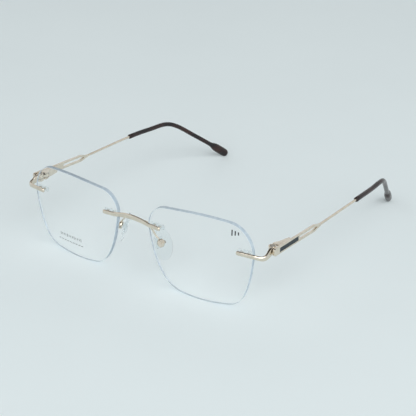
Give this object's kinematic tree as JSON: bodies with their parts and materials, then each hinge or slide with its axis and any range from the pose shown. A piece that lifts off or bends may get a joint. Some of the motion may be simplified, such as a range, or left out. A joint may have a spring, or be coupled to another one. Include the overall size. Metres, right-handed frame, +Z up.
{
  "type": "rimless eyeglasses",
  "caption": "Rimless eyeglasses with screwless two-pin lens mounts, an arched metal bridge, sprung folding temples with pierced plates, and soft nose pads on wire arms.",
  "frame": {"origin": "centre of the glasses' footprint, on the surface that the lenses' lower edges and the temple tips stand on", "axes": "+X towards the wearer's left, +Y from the lenses back to the temple tips, +Z up; the front leans back by 3.8 degrees"},
  "size_m": [0.1324, 0.1476, 0.0411],
  "materials": {
    "polished_gold": "polished pale champagne gold plating",
    "screw_steel": "turned screw steel",
    "clear_lens": "clear, polished surfaces with a fine-ground edge",
    "clear_plug": "clear moulded plastic",
    "clear_silicone": "clear soft silicone",
    "inlay_enamel": "dark blue-black ribbed inlay",
    "tip_acetate": "glossy dark brown translucent plastic",
    "spring_steel": "drawn spring wire"
  },
  "bodies": {
    "root": {"bridge": "polished_gold", "lens_left": "clear_lens", "bridge_plug_left": "clear_plug", "endpiece_plug_left": "clear_plug", "endpiece_left": "polished_gold", "hinge_screw_left": "screw_steel", "pad_arm_left": "polished_gold", "pad_box_left": "polished_gold", "pad_screw_left": "screw_steel", "lens_right": "clear_lens", "bridge_plug_right": "clear_plug", "endpiece_plug_right": "clear_plug", "endpiece_right": "polished_gold", "hinge_screw_right": "screw_steel", "pad_arm_right": "polished_gold", "pad_box_right": "polished_gold", "pad_screw_right": "screw_steel"},
    "left_hinge_slider": {"hinge_slider_left": "polished_gold", "spring_stop_left": "spring_steel", "flex_spring_left": "spring_steel"},
    "left_temple": {"spring_housing_left": "polished_gold", "temple_left": "polished_gold", "temple_inlay_left": "inlay_enamel", "temple_tip_left": "tip_acetate"},
    "left_pad": {"pad_core_left": "clear_plug", "nose_pad_left": "clear_silicone"},
    "right_hinge_slider": {"hinge_slider_right": "polished_gold", "spring_stop_right": "spring_steel", "flex_spring_right": "spring_steel"},
    "right_temple": {"spring_housing_right": "polished_gold", "temple_right": "polished_gold", "temple_inlay_right": "inlay_enamel", "temple_tip_right": "tip_acetate"},
    "right_pad": {"pad_core_right": "clear_plug", "nose_pad_right": "clear_silicone"}
  },
  "joints": [
    {"name": "left_temple_fold", "type": "hinge", "parent": "root", "child": "left_hinge_slider", "pos_m": [0.06335, -0.06027, 0.02907], "axis": [0, -0.04, 0.9992], "range_deg": [-8, 82]},
    {"name": "left_spring_flex", "type": "slide", "parent": "left_hinge_slider", "child": "left_temple", "axis": [-0.0078, 0.9992, -0.0385], "range_m": [0, 0.001], "stiffness_N_per_m": 400, "springref_m": -0.004, "deforming": ["flex_spring_left"]},
    {"name": "left_pad_rock", "type": "hinge", "parent": "root", "child": "left_pad", "pos_m": [0.0112, -0.06623, 0.01926], "axis": [0.4226, 0.9043, 0.06], "range_deg": [-8, 8]},
    {"name": "right_temple_fold", "type": "hinge", "parent": "root", "child": "right_hinge_slider", "pos_m": [-0.06335, -0.06027, 0.02907], "axis": [0, 0.0923, -0.9957], "range_deg": [-8, 86]},
    {"name": "right_spring_flex", "type": "slide", "parent": "right_hinge_slider", "child": "right_temple", "axis": [0.0078, 0.9992, -0.0385], "range_m": [0, 0.001], "stiffness_N_per_m": 400, "springref_m": -0.004, "deforming": ["flex_spring_right"]},
    {"name": "right_pad_rock", "type": "hinge", "parent": "root", "child": "right_pad", "pos_m": [-0.0112, -0.06636, 0.02125], "axis": [-0.4226, 0.9043, 0.06], "range_deg": [-8, 8]}
  ]
}
